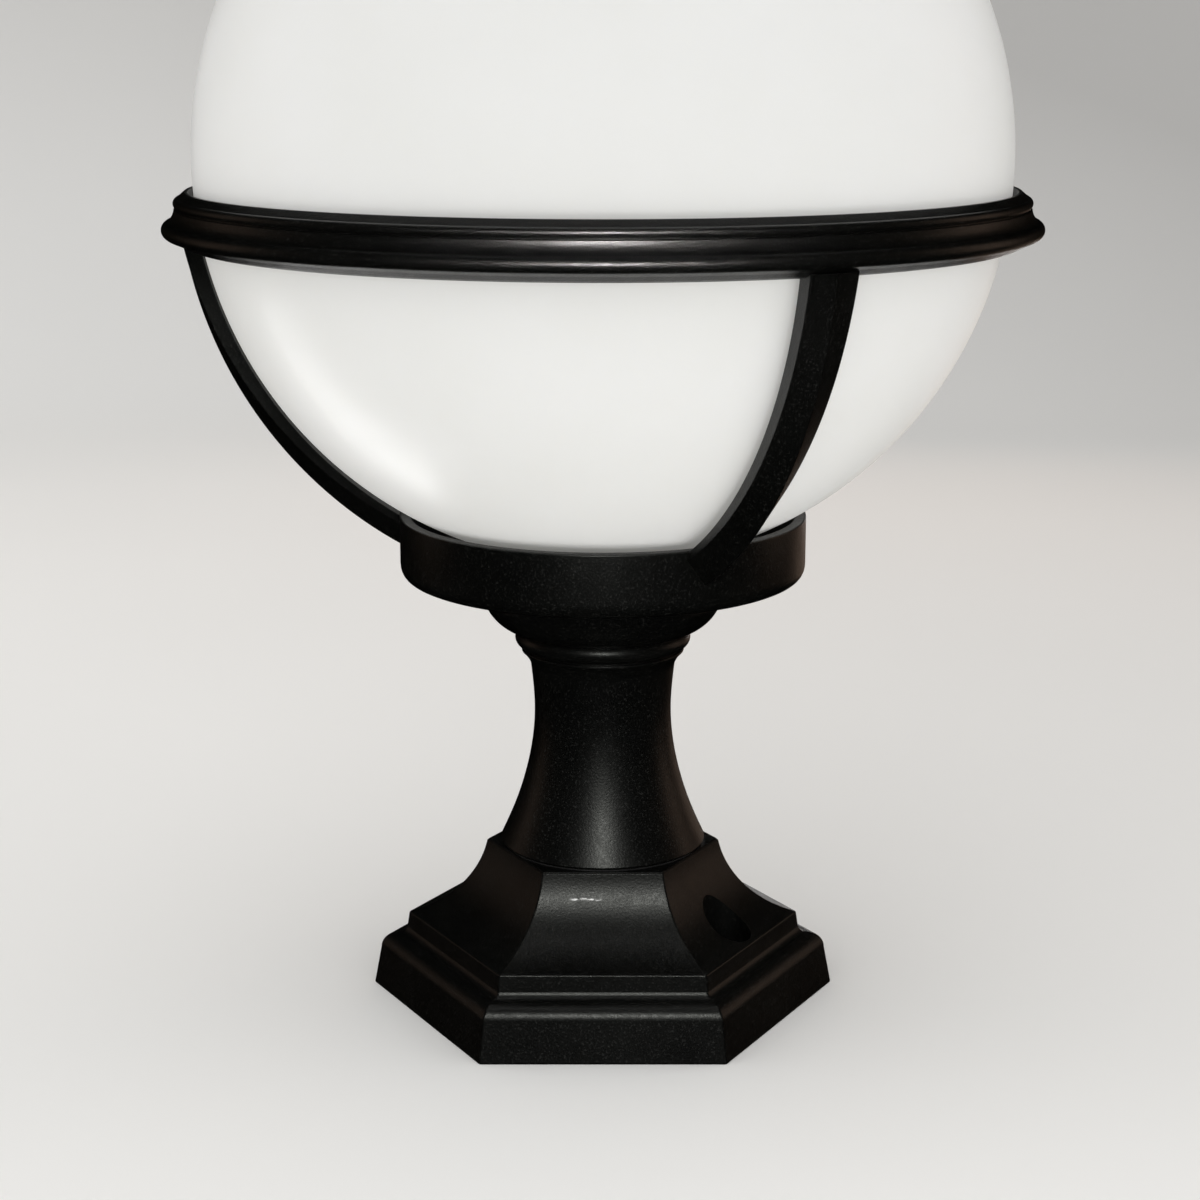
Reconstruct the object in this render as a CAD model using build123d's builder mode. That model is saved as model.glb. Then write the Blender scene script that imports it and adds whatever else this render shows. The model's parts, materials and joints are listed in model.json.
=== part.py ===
from build123d import *
import os
from math import cos, pi, radians, sin, sqrt, tan

# Pier lantern: an opal globe held in a cast cage, on a waisted round column
# with a hexagonal base. Millimetres, +Z up. The origin is the centre of the
# base's underside, and the hexagon's front face looks along -Y.

# ---- hexagonal base -------------------------------------------------------
BASE_APOTHEM = 65.9
BASE_TOP = 50.5
PLINTH_APOTHEM = 63.8
PLINTH_TOP = 12.6
OVOLO_R = 5.2
FILLET_FOOT = (56.2, 19.8)
COVE_FOOT = (55.5, 25.0)
COVE_MIDDLE = (40.9, 34.2)
COVE_HEAD = (33.0, 49.9)
BASE_WALL = 3.6
BASE_ROOF = 46.5
FIXING_PCD = 92.0
FIXING_ANGLE = -30.0
FIXING_HOLE_R = 3.25
FIXING_POCKET_R = 7.8
FIXING_POCKET_FLOOR = 12.0
FIXING_BOSS_R = 10.6

# ---- column and neck ------------------------------------------------------
FOOT_GASKET_TOP = 51.1
COLUMN_TOP = 115.8
WAIST_R = 22.05
WAIST_HEIGHT = 96.0
TORUS_R = 28.2
COLLAR_TOP = 139.8
COLLAR_R = 38.2

# ---- gallery, cage and globe ----------------------------------------------
GALLERY_R = 64.5
GALLERY_INNER_R = 61.0
GALLERY_FLOOR = 143.5
GALLERY_RIM = 160.0
GLOBE_R = 125.0
GLOBE_HEIGHT = 270.4
GLOBE_WALL = 3.0
GLOBE_NECK_R = 42.0
GLOBE_NECK_BORE_R = 38.5
GLOBE_NECK_FOOT = 146.5
RING_BORE_R = 126.2
RING_FOOT = 245.4
ARM_ANGLE = -61.9
ARM_HEAD_ANGLE = 80.6
ARM_HEAD_R = 126.7
ARM_HEAD_WIDTH = 15.5
ARM_HEAD_SIDE = 5.4
ARM_HEAD_RIDGE = 0.9
ARM_FOOT_ANGLE = 27.0
ARM_FOOT_R = 128.2
ARM_FOOT_WIDTH = 12.0
ARM_FOOT_SIDE = 2.1
ARM_FOOT_RIDGE = 7.7
ARM_RIDGE_EASE = 1.15
ARM_FOOT_SCREW_HEIGHT = 155.0
RING_SCREW_HEIGHT = 251.0
TONGUE_INNER_R = 128.0
TONGUE_THICKNESS = 3.0
TONGUE_WIDTH = 10.0
TONGUE_FOOT = 244.5
TONGUE_TOP = 256.0
SLOT_FOOT = 240.0
SLOT_GAP = 0.1

# ---- tie tube, lampholder and lamp ----------------------------------------
TUBE_R = 5.0
TUBE_BORE_R = 4.0
TUBE_HOLE_R = 5.3
TUBE_FOOT = 38.0
TUBE_TOP = 156.0
NUT_ACROSS_FLATS = 14.0
LAMP_SEAT = 182.0
LAMP_PITCH = 3.62
BULB_R = 30.0

# ---- wiring ----------------------------------------------------------------
LEAD_R = 0.9
LEAD_OFFSET = 1.2
POLE_PITCH = 9.3
BLOCK_Y = 24.0
BLOCK_Z = 23.5
BLOCK_LENGTH = 30.0
BLOCK_DEPTH = 20.0
BLOCK_HEIGHT = 13.0

os.makedirs("parts", exist_ok=True)


def save(piece, name):
    """Label one finished piece and write it as its own STEP file."""
    piece.label = name
    export_step(piece, f"parts/{name}.step")


def turned(plane_outline):
    """Revolve a closed outline of (radius, height) points about the lantern's axis."""
    with BuildPart() as piece:
        with BuildSketch(Plane.XZ):
            with BuildLine():
                Polyline(*plane_outline, close=True)
            make_face()
        revolve(axis=Axis.Z)
    return piece.part


def tube(radius, bore, low, high):
    """A plain tube or washer on the lantern's axis."""
    with BuildPart() as piece:
        with BuildSketch(Plane.XY.offset(low)):
            Circle(radius)
            Circle(bore, mode=Mode.SUBTRACT)
        extrude(amount=high - low)
    return piece.part


def around_globe(radius, angle):
    """A point in the plane of an arm, at an angle up from straight below the globe's centre."""
    turn = radians(angle)
    return (radius * sin(turn), GLOBE_HEIGHT - radius * cos(turn))


# ---- hexagonal base ---------------------------------------------------------
def hexagonal(half_outline):
    """The solid that three identical prisms, 60 degrees apart, have in common."""
    with BuildPart() as solid:
        for turn in range(3):
            outward = Vector(0, -1, 0).rotate(Axis.Z, 60 * turn)
            side = Plane(origin=(0, 0, 0), x_dir=outward, z_dir=outward.cross(Vector(0, 0, 1)))
            with BuildSketch(side):
                add(half_outline)
                mirror(about=Plane.YZ)
            joining = Mode.ADD if turn == 0 else Mode.INTERSECT
            extrude(amount=2 * BASE_APOTHEM, both=True, mode=joining)
    return solid.part


with BuildSketch() as base_outside:
    with BuildLine():
        Polyline((0, BASE_TOP), (0, 0), (BASE_APOTHEM, 0), (PLINTH_APOTHEM, PLINTH_TOP))
        ovolo = CenterArc((PLINTH_APOTHEM - OVOLO_R, PLINTH_TOP), OVOLO_R, 0, 90)
        RadiusArc(ovolo @ 1, FILLET_FOOT, 2.6)
        Line(FILLET_FOOT, COVE_FOOT)
        ThreePointArc(COVE_FOOT, COVE_MIDDLE, COVE_HEAD)
        Polyline(COVE_HEAD, (COVE_HEAD[0] - 0.6, BASE_TOP), (0, BASE_TOP))
    make_face()

with BuildSketch() as base_inside:
    with BuildLine():
        inner_fillet = COVE_FOOT[0] - BASE_WALL
        Polyline(
            (0, BASE_ROOF),
            (0, -1),
            (BASE_APOTHEM - BASE_WALL, -1),
            (PLINTH_APOTHEM - BASE_WALL, PLINTH_TOP),
            (inner_fillet, PLINTH_TOP + 3),
            (inner_fillet, COVE_FOOT[1] - BASE_WALL),
        )
        ThreePointArc(
            (inner_fillet, COVE_FOOT[1] - BASE_WALL),
            (COVE_MIDDLE[0] - 2.6, COVE_MIDDLE[1] - 2.8),
            (COVE_HEAD[0] - BASE_WALL, BASE_ROOF),
        )
        Line((COVE_HEAD[0] - BASE_WALL, BASE_ROOF), (0, BASE_ROOF))
    make_face()

BLOCK_TOP = BLOCK_Z + BLOCK_HEIGHT / 2
BLOCK_SCREW_X = POLE_PITCH / 2
EARTH_Y = -20.0
EARTH_BOSS_FOOT = 38.0
EARTH_BOSS_R = 5.0
BLOCK_BOSS_R = 3.4
BLOCK_HOLE_R = 1.3

# The hollow leaves the two fixing bosses, the earth boss and the block's boss standing.
with BuildPart() as base_hollow:
    add(hexagonal(base_inside.sketch))
    with PolarLocations(FIXING_PCD / 2, 2, start_angle=FIXING_ANGLE):
        Cylinder(FIXING_BOSS_R, 2 * BASE_TOP, mode=Mode.SUBTRACT)
    with BuildSketch(Plane.XY.offset(EARTH_BOSS_FOOT)):
        with Locations((0, EARTH_Y)):
            Circle(EARTH_BOSS_R)
    extrude(amount=BASE_TOP, mode=Mode.SUBTRACT)
    with BuildSketch(Plane.XY.offset(BLOCK_TOP)):
        with Locations((BLOCK_SCREW_X, BLOCK_Y)):
            Circle(BLOCK_BOSS_R)
    extrude(amount=BASE_TOP, mode=Mode.SUBTRACT)

with BuildPart() as hex_base:
    add(hexagonal(base_outside.sketch))
    add(base_hollow.part, mode=Mode.SUBTRACT)
    with BuildSketch(Plane.XY.offset(FIXING_POCKET_FLOOR)):
        with PolarLocations(FIXING_PCD / 2, 2, start_angle=FIXING_ANGLE):
            Circle(FIXING_POCKET_R)
    extrude(amount=BASE_TOP, mode=Mode.SUBTRACT)
    with PolarLocations(FIXING_PCD / 2, 2, start_angle=FIXING_ANGLE):
        Hole(FIXING_HOLE_R)
    Hole(TUBE_HOLE_R)
    with BuildSketch(Plane.XY.offset(EARTH_BOSS_FOOT - 1)):
        with Locations((0, EARTH_Y)):
            Circle(2.0)
    extrude(amount=8.5, mode=Mode.SUBTRACT)
    with BuildSketch(Plane.XY.offset(BLOCK_TOP - 1)):
        with Locations((BLOCK_SCREW_X, BLOCK_Y)):
            Circle(BLOCK_HOLE_R)
    extrude(amount=11, mode=Mode.SUBTRACT)
save(hex_base.part, "hex_base")

save(tube(32.0, 27.8, BASE_TOP, FOOT_GASKET_TOP), "foot_gasket")

# ---- column -------------------------------------------------------------------
with BuildPart() as column:
    with BuildSketch(Plane.XZ):
        with BuildLine():
            foot = Polyline((27.8, FOOT_GASKET_TOP), (32.7, FOOT_GASKET_TOP), (33.3, 51.9))
            shaft = Spline(
                foot @ 1, (29.5, 60.5), (25.0, 74.1), (WAIST_R, WAIST_HEIGHT), (23.2, 110.8)
            )
            flare = ThreePointArc(shaft @ 1, (24.2, 112.9), (26.1, 115.1))
            Polyline(
                flare @ 1,
                (26.1, COLUMN_TOP),
                (TUBE_HOLE_R, COLUMN_TOP),
                (TUBE_HOLE_R, 108.0),
                (17.8, 108.0),
                (17.8, 84.0),
                (21.5, 66.0),
                foot @ 0,
            )
        make_face()
    revolve(axis=Axis.Z)
save(column.part, "column")

# ---- neck collar: a bead with an ovolo cup above it -------------------------
with BuildPart() as neck_collar:
    with BuildSketch(Plane.XZ):
        with BuildLine():
            groove = Polyline((TUBE_HOLE_R, COLUMN_TOP), (25.2, COLUMN_TOP), (25.2, 116.5))
            bead = ThreePointArc(groove @ 1, (TORUS_R, 119.3), (27.0, 121.8))
            step = Line(bead @ 1, (28.6, 122.4))
            cup = ThreePointArc(step @ 1, (35.0, 126.3), (COLLAR_R, 132.0))
            Polyline(
                cup @ 1,
                (COLLAR_R, COLLAR_TOP),
                (33.8, COLLAR_TOP),
                (33.8, 130.0),
                (23.0, 120.8),
                (TUBE_HOLE_R, 120.8),
                groove @ 0,
            )
        make_face()
    revolve(axis=Axis.Z)
save(neck_collar.part, "neck_collar")

# ---- screws that hold the arms -----------------------------------------------
ARM_SCREW_R = 2.0
ARM_SCREW_HEAD_R = 3.8
ARM_SCREW_TIP = 68.5
RING_SCREW_R = 1.5
RING_SCREW_HEAD_R = 2.7
RING_SCREW_TIP = 132.0


def countersunk_screw(seat, tip, height, radius, head_radius, gap=0.0):
    """A countersunk screw lying along +X with its head flush at the seat."""
    rise = head_radius - radius
    with BuildPart() as screw:
        with BuildSketch(Plane.XY):
            with BuildLine():
                Polyline(
                    (seat, 0),
                    (seat, head_radius + gap),
                    (seat + rise, radius + gap),
                    (tip + gap, radius + gap),
                    (tip + gap, 0),
                    close=True,
                )
            make_face()
        revolve(axis=Axis.X)
        if gap == 0:
            with BuildSketch(Plane.YZ.offset(seat)):
                RegularPolygon(0.55 * radius, 6)
            extrude(amount=0.8 * rise, mode=Mode.SUBTRACT)
    return Pos(0, 0, height) * screw.part


def at_each_arm(piece):
    """Copies of a piece at the three arms, as one group."""
    with BuildPart() as group:
        with PolarLocations(0, 3, start_angle=ARM_ANGLE):
            add(piece)
    return group.part


arm_foot_screw = countersunk_screw(
    GALLERY_INNER_R, ARM_SCREW_TIP, ARM_FOOT_SCREW_HEIGHT, ARM_SCREW_R, ARM_SCREW_HEAD_R
)
arm_foot_hole = countersunk_screw(
    GALLERY_INNER_R - 1, ARM_SCREW_TIP, ARM_FOOT_SCREW_HEIGHT, ARM_SCREW_R, ARM_SCREW_HEAD_R + 1, 0.05
)
ring_screw = countersunk_screw(
    RING_BORE_R, RING_SCREW_TIP, RING_SCREW_HEIGHT, RING_SCREW_R, RING_SCREW_HEAD_R
)
ring_screw_hole = countersunk_screw(
    RING_BORE_R - 1, RING_SCREW_TIP, RING_SCREW_HEIGHT, RING_SCREW_R, RING_SCREW_HEAD_R + 1, 0.05
)
save(at_each_arm(arm_foot_screw), "arm_foot_screws")
save(at_each_arm(ring_screw), "ring_screws")

# ---- gallery: the cup that carries the globe and the arms ----------------------
with BuildPart() as gallery:
    with BuildSketch(Plane.XZ):
        with BuildLine():
            Polyline(
                (TUBE_HOLE_R, COLLAR_TOP),
                (GALLERY_R, COLLAR_TOP),
                (GALLERY_R, GALLERY_RIM),
                (GALLERY_INNER_R, GALLERY_RIM),
                (GALLERY_INNER_R, GALLERY_FLOOR),
                (TUBE_HOLE_R, GALLERY_FLOOR),
                close=True,
            )
        make_face()
    revolve(axis=Axis.Z)
    outer_foot = gallery.edges().filter_by(GeomType.CIRCLE).group_by(Axis.Z)[0].sort_by(SortBy.RADIUS)[-1]
    fillet(outer_foot, 5.0)
    rim_edges = gallery.edges().filter_by(GeomType.CIRCLE).group_by(Axis.Z)[-1]
    fillet(rim_edges, 0.6)
    inner_foot = (
        gallery.edges()
        .filter_by(GeomType.CIRCLE)
        .filter_by(lambda edge: abs(edge.radius - GALLERY_INNER_R) < 0.01)
        .sort_by(Axis.Z)[0]
    )
    fillet(inner_foot, 3.0)
    with PolarLocations(0, 3, start_angle=ARM_ANGLE):
        add(arm_foot_hole, mode=Mode.SUBTRACT)
save(gallery.part, "gallery")

# ---- cage ring -----------------------------------------------------------------
with BuildPart() as ring_blank:
    with BuildSketch(Plane.XZ):
        with BuildLine():
            lip = Polyline((RING_BORE_R, RING_FOOT), (RING_BORE_R, 261.9), (127.4, 261.9), (129.6, 260.0))
            small_bead = ThreePointArc(lip @ 1, (130.9, 258.5), (130.1, 257.1))
            cove_top = Line(small_bead @ 1, (130.7, 256.7))
            cove = RadiusArc(cove_top @ 1, (132.6, 253.2), -5.0)
            step = Line(cove @ 1, (132.7, 252.8))
            big_bead = ThreePointArc(step @ 1, (134.7, 250.4), (132.9, 248.3))
            Polyline(big_bead @ 1, (130.9, 247.5), (128.2, 246.1), lip @ 0)
        make_face()
    revolve(axis=Axis.Z)

with BuildPart() as cage_ring:
    add(ring_blank.part)
    with BuildSketch(Plane.XY.offset(SLOT_FOOT)):
        with PolarLocations(TONGUE_INNER_R + TONGUE_THICKNESS / 2, 3, start_angle=ARM_ANGLE):
            Rectangle(TONGUE_THICKNESS + 2 * SLOT_GAP, TONGUE_WIDTH + 2 * SLOT_GAP)
    extrude(amount=TONGUE_TOP + SLOT_GAP - SLOT_FOOT, mode=Mode.SUBTRACT)
    with PolarLocations(0, 3, start_angle=ARM_ANGLE):
        add(ring_screw_hole, mode=Mode.SUBTRACT)
save(cage_ring.part, "cage_ring")

# ---- arms: straps that are flat at the ring and ridged towards the gallery ------
def arm_section(angle):
    """The section across an arm, at an angle up from straight below the globe's centre."""
    share = (angle - ARM_FOOT_ANGLE) / (ARM_HEAD_ANGLE - ARM_FOOT_ANGLE)
    half = (ARM_FOOT_WIDTH + (ARM_HEAD_WIDTH - ARM_FOOT_WIDTH) * share) / 2
    side = ARM_FOOT_SIDE + (ARM_HEAD_SIDE - ARM_FOOT_SIDE) * share
    ridge = side + ARM_HEAD_RIDGE + (ARM_FOOT_RIDGE - ARM_HEAD_RIDGE) * (1 - share**ARM_RIDGE_EASE)
    x, z = around_globe(ARM_FOOT_R + (ARM_HEAD_R - ARM_FOOT_R) * share, angle)
    turn = radians(angle)
    across = Plane(origin=(x, 0, z), x_dir=(0, 1, 0), z_dir=(-cos(turn), 0, -sin(turn)))
    with BuildSketch(across) as section:
        with BuildLine():
            Polyline((-half, 0), (-half, side), (0, ridge), (half, side), (half, 0), close=True)
        make_face()
    return section.sketch


ARM_SECTIONS = 6
arm_step = (ARM_HEAD_ANGLE - ARM_FOOT_ANGLE) / (ARM_SECTIONS - 1)
with BuildPart() as arm:
    loft([arm_section(ARM_FOOT_ANGLE + arm_step * number).face() for number in range(ARM_SECTIONS)])
    add(ring_blank.part, mode=Mode.SUBTRACT)
    with BuildSketch(Plane.XY.offset(RING_FOOT)):
        Circle(RING_BORE_R)
    extrude(amount=GLOBE_R, mode=Mode.SUBTRACT)
    Cylinder(GALLERY_R, GALLERY_RIM, align=(Align.CENTER, Align.CENTER, Align.MIN), mode=Mode.SUBTRACT)
    with BuildSketch(Plane.XY.offset(TONGUE_FOOT)):
        with Locations((TONGUE_INNER_R + TONGUE_THICKNESS / 2, 0)):
            Rectangle(TONGUE_THICKNESS, TONGUE_WIDTH)
    extrude(amount=TONGUE_TOP - TONGUE_FOOT)
    add(arm_foot_hole, mode=Mode.SUBTRACT)
    add(ring_screw_hole, mode=Mode.SUBTRACT)

for number, name in enumerate(["arm_front", "arm_rear", "arm_left"]):
    save(Rot(0, 0, ARM_ANGLE + 120 * number) * arm.part, name)

# ---- globe, its seal and the threaded carrier it screws into ------------------
neck_shoulder = GLOBE_HEIGHT - sqrt(GLOBE_R**2 - GLOBE_NECK_R**2)
GLOBE_INNER_R = GLOBE_R - GLOBE_WALL
neck_mouth = GLOBE_HEIGHT - sqrt(GLOBE_INNER_R**2 - GLOBE_NECK_BORE_R**2)
with BuildPart() as globe:
    with BuildSketch(Plane.XZ):
        with BuildLine():
            Polyline(
                (GLOBE_NECK_BORE_R, neck_mouth),
                (GLOBE_NECK_BORE_R, GLOBE_NECK_FOOT),
                (GLOBE_NECK_R, GLOBE_NECK_FOOT),
                (GLOBE_NECK_R, neck_shoulder),
            )
            ThreePointArc(
                (GLOBE_NECK_R, neck_shoulder), (GLOBE_R, GLOBE_HEIGHT), (0, GLOBE_HEIGHT + GLOBE_R)
            )
            Line((0, GLOBE_HEIGHT + GLOBE_R), (0, GLOBE_HEIGHT + GLOBE_INNER_R))
            ThreePointArc(
                (0, GLOBE_HEIGHT + GLOBE_INNER_R),
                (GLOBE_INNER_R, GLOBE_HEIGHT),
                (GLOBE_NECK_BORE_R, neck_mouth),
            )
        make_face()
    revolve(axis=Axis.Z)
save(globe.part, "globe")

CARRIER_FLOOR = GALLERY_FLOOR + 2.0
CARRIER_TOP = 151.0
save(tube(46.0, 42.35, CARRIER_TOP, CARRIER_TOP + 1.4), "globe_seal")
save(
    turned(
        [
            (TUBE_HOLE_R, GALLERY_FLOOR),
            (45.5, GALLERY_FLOOR),
            (45.5, CARRIER_TOP),
            (42.3, CARRIER_TOP),
            (42.3, CARRIER_FLOOR),
            (TUBE_HOLE_R, CARRIER_FLOOR),
        ]
    ),
    "globe_carrier",
)


# ---- tie tube with its nuts and washers ----------------------------------------
def tube_nut(low, high):
    """A thin hexagon nut on the tie tube."""
    with BuildPart() as nut:
        with BuildSketch(Plane.XY.offset(low)):
            RegularPolygon(NUT_ACROSS_FLATS / 2, 6, major_radius=False)
            Circle(TUBE_R + 0.02, mode=Mode.SUBTRACT)
        extrude(amount=high - low)
        chamfer(nut.faces().sort_by(Axis.Z)[-1].outer_wire().edges(), 0.5)
    return nut.part


LOWER_WASHER_FOOT = BASE_ROOF - 1.5
UPPER_WASHER_FOOT = CARRIER_FLOOR
NUT_HEIGHT = 4.0
save(tube(TUBE_R, TUBE_BORE_R, TUBE_FOOT, TUBE_TOP), "tie_tube")
save(tube(12.0, TUBE_HOLE_R, LOWER_WASHER_FOOT, BASE_ROOF), "lower_washer")
save(tube_nut(LOWER_WASHER_FOOT - NUT_HEIGHT, LOWER_WASHER_FOOT), "lower_nut")
save(tube(12.0, TUBE_HOLE_R, UPPER_WASHER_FOOT, UPPER_WASHER_FOOT + 1.5), "upper_washer")
save(tube_nut(UPPER_WASHER_FOOT + 1.5, UPPER_WASHER_FOOT + 1.5 + NUT_HEIGHT), "upper_nut")

# ---- lampholder ----------------------------------------------------------------
HOLDER_FOOT = 152.0
HOLDER_JOINT = 172.0
HOLDER_TOP = 212.0
INSERT_FLOOR = 174.0
INSERT_TOP = 180.0
save(
    turned(
        [
            (TUBE_R + 0.02, HOLDER_FOOT),
            (12.0, HOLDER_FOOT),
            (20.0, 160.0),
            (20.0, HOLDER_JOINT),
            (18.4, HOLDER_JOINT),
            (18.4, 161.0),
            (11.2, 154.6),
            (TUBE_R + 0.02, 154.6),
        ]
    ),
    "holder_cap",
)
save(
    turned(
        [
            (14.0, HOLDER_JOINT),
            (20.0, HOLDER_JOINT),
            (20.0, 207.0),
            (20.8, 208.0),
            (20.8, HOLDER_TOP),
            (17.6, HOLDER_TOP),
            (17.6, INSERT_FLOOR),
            (14.0, INSERT_FLOOR),
        ]
    ),
    "holder_body",
)
TERMINAL_X = 9.5
with BuildPart() as holder_insert:
    with BuildSketch(Plane.XY.offset(INSERT_FLOOR)):
        Circle(17.5)
        with Locations((-TERMINAL_X, 0), (TERMINAL_X, 0)):
            Circle(1.5, mode=Mode.SUBTRACT)
    extrude(amount=INSERT_TOP - INSERT_FLOOR)
save(holder_insert.part, "holder_insert")
save(tube(13.9, 13.4, INSERT_TOP, 206.0), "holder_shell")

with BuildPart() as centre_contact:
    with BuildSketch(Plane.XZ):
        with BuildLine():
            Polyline(
                (-12.0, INSERT_TOP),
                (-6.0, INSERT_TOP),
                (0.0, LAMP_SEAT - 0.7),
                (4.0, LAMP_SEAT - 0.7),
                (4.0, LAMP_SEAT),
                (-0.4, LAMP_SEAT),
                (-6.4, INSERT_TOP + 0.7),
                (-12.0, INSERT_TOP + 0.7),
                close=True,
            )
        make_face()
    extrude(amount=2.5, both=True)
save(centre_contact.part, "centre_contact")

SCREW_HEAD_FOOT = INSERT_FLOOR - 2.0
with BuildPart() as holder_terminals:
    with BuildSketch(Plane.XY.offset(SCREW_HEAD_FOOT)):
        with Locations((-TERMINAL_X, 0), (TERMINAL_X, 0)):
            Circle(2.6)
    extrude(amount=2.0)
    with BuildSketch(Plane.XY.offset(SCREW_HEAD_FOOT)):
        with Locations((-TERMINAL_X, 0), (TERMINAL_X, 0)):
            Circle(1.45)
    extrude(amount=7.0)
save(holder_terminals.part, "holder_terminals")

# ---- lamp: an E27 lamp with an opal bulb -----------------------------------------
CAP_CREST_R = 13.0
CAP_ROOT_R = 12.4
CAP_WALL = 0.4
CAP_FOOT = LAMP_SEAT + 6.5
CAP_TURNS = 5
CAP_TOP = CAP_FOOT + 20.5
save(tube(4.6, 0.5, LAMP_SEAT, LAMP_SEAT + 2.0), "lamp_contact")
save(
    turned([(5.0, 183.0), (7.0, 183.0), (11.8, 187.4), (11.8, CAP_FOOT), (5.0, CAP_FOOT)]),
    "lamp_insulator",
)


def cap_wave(inset):
    """Points down the lamp cap's rolled thread, moved inwards by a wall's thickness."""
    points = [(CAP_ROOT_R - inset, CAP_TOP)]
    for turn in range(CAP_TURNS):
        crest = CAP_TOP - 2.0 - LAMP_PITCH * turn
        points.append((CAP_CREST_R - inset, crest))
        points.append((CAP_ROOT_R - inset, crest - LAMP_PITCH / 2))
    return points + [(11.9 - inset, CAP_FOOT)]


with BuildPart() as lamp_cap:
    with BuildSketch(Plane.XZ):
        with BuildLine():
            outside = Spline(*cap_wave(0))
            inside = Spline(*cap_wave(CAP_WALL))
            Line(outside @ 0, inside @ 0)
            Line(outside @ 1, inside @ 1)
        make_face()
    revolve(axis=Axis.Z)
save(lamp_cap.part, "lamp_cap")

HOUSING_TOP = 247.0
save(
    turned(
        [
            (13.3, CAP_TOP - 1.5),
            (14.4, CAP_TOP - 1.5),
            (15.2, 212.0),
            (26.5, 245.0),
            (26.5, HOUSING_TOP),
            (24.8, HOUSING_TOP),
            (24.8, 244.0),
            (22.4, 244.0),
            (13.0, 213.5),
            (11.0, CAP_TOP + 0.3),
            (13.3, CAP_TOP + 0.3),
        ]
    ),
    "lamp_housing",
)
save(tube(24.7, 3.0, 244.0, 245.6), "led_board")

BULB_HEIGHT = 262.0
BULB_INNER_R = BULB_R - 1.5
rim_drop = BULB_HEIGHT - HOUSING_TOP
with BuildPart() as lamp_bulb:
    with BuildSketch(Plane.XZ):
        with BuildLine():
            outer = ThreePointArc(
                (sqrt(BULB_R**2 - rim_drop**2), HOUSING_TOP),
                (BULB_R, BULB_HEIGHT),
                (0, BULB_HEIGHT + BULB_R),
            )
            inner = ThreePointArc(
                (0, BULB_HEIGHT + BULB_INNER_R),
                (BULB_INNER_R, BULB_HEIGHT),
                (sqrt(BULB_INNER_R**2 - rim_drop**2), HOUSING_TOP),
            )
            Line(outer @ 1, inner @ 0)
            Line(inner @ 1, outer @ 0)
        make_face()
    revolve(axis=Axis.Z)
save(lamp_bulb.part, "lamp_bulb")

# ---- terminal block ---------------------------------------------------------------
POLES = [-POLE_PITCH, 0.0, POLE_PITCH]
BLOCK_FOOT = BLOCK_Z - BLOCK_HEIGHT / 2
PINCH_Y = 5.0
PINCH_PLACES = [(x, BLOCK_Y + y) for x in POLES for y in (-PINCH_Y, PINCH_Y)]
block_side = Plane(origin=(0, BLOCK_Y, BLOCK_Z), x_dir=(1, 0, 0), z_dir=(0, -1, 0))

with BuildPart() as terminal_block:
    with Locations((0, BLOCK_Y, BLOCK_Z)):
        Box(BLOCK_LENGTH, BLOCK_DEPTH, BLOCK_HEIGHT)
    fillet(terminal_block.edges().filter_by(Axis.Z), 1.0)
    with BuildSketch(block_side):
        with Locations(*[(x, 0) for x in POLES]):
            Circle(3.05)
    extrude(amount=BLOCK_DEPTH, both=True, mode=Mode.SUBTRACT)
    with BuildSketch(Plane.XY.offset(BLOCK_FOOT)):
        with Locations(*PINCH_PLACES):
            Circle(1.95)
    extrude(amount=BLOCK_HEIGHT / 2, mode=Mode.SUBTRACT)
    with BuildSketch(Plane.XY.offset(BLOCK_FOOT)):
        with Locations((BLOCK_SCREW_X, BLOCK_Y)):
            Circle(BLOCK_HOLE_R)
    extrude(amount=BLOCK_HEIGHT, mode=Mode.SUBTRACT)
save(terminal_block.part, "terminal_block")

with BuildPart() as terminal_tubes:
    with BuildSketch(block_side):
        with Locations(*[(x, 0) for x in POLES]):
            Circle(3.0)
            Circle(1.6, mode=Mode.SUBTRACT)
    extrude(amount=8.5, both=True)
    with BuildSketch(Plane.XY.offset(BLOCK_FOOT)):
        with Locations(*PINCH_PLACES):
            Circle(1.35)
    extrude(amount=BLOCK_HEIGHT / 2, mode=Mode.SUBTRACT)
save(terminal_tubes.part, "terminal_tubes")

with BuildPart() as terminal_screws:
    with BuildSketch(Plane.XY.offset(BLOCK_FOOT + 0.4)):
        with Locations(*PINCH_PLACES):
            Circle(1.8)
    extrude(amount=2.0)
    with BuildSketch(Plane.XY.offset(BLOCK_FOOT + 0.4)):
        with Locations(*PINCH_PLACES):
            Circle(1.3)
    extrude(amount=BLOCK_HEIGHT / 2 - 0.4 - LEAD_R)
    with BuildSketch(Plane.XY.offset(BLOCK_FOOT + 0.4)):
        with Locations(*PINCH_PLACES):
            Rectangle(3.0, 0.6)
    extrude(amount=0.8, mode=Mode.SUBTRACT)
save(terminal_screws.part, "terminal_screws")

with BuildPart() as block_screw:
    with BuildSketch(Plane.XY.offset(BLOCK_FOOT - 1.6)):
        with Locations((BLOCK_SCREW_X, BLOCK_Y)):
            Circle(2.4)
    extrude(amount=1.6)
    with BuildSketch(Plane.XY.offset(BLOCK_FOOT - 1.6)):
        with Locations((BLOCK_SCREW_X, BLOCK_Y)):
            Circle(1.25)
    extrude(amount=1.6 + BLOCK_HEIGHT + 9.0)
    with BuildSketch(Plane.XY.offset(BLOCK_FOOT - 1.6)):
        with Locations((BLOCK_SCREW_X, BLOCK_Y)):
            Rectangle(4.0, 0.7)
    extrude(amount=0.8, mode=Mode.SUBTRACT)
save(block_screw.part, "block_screw")

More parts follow.
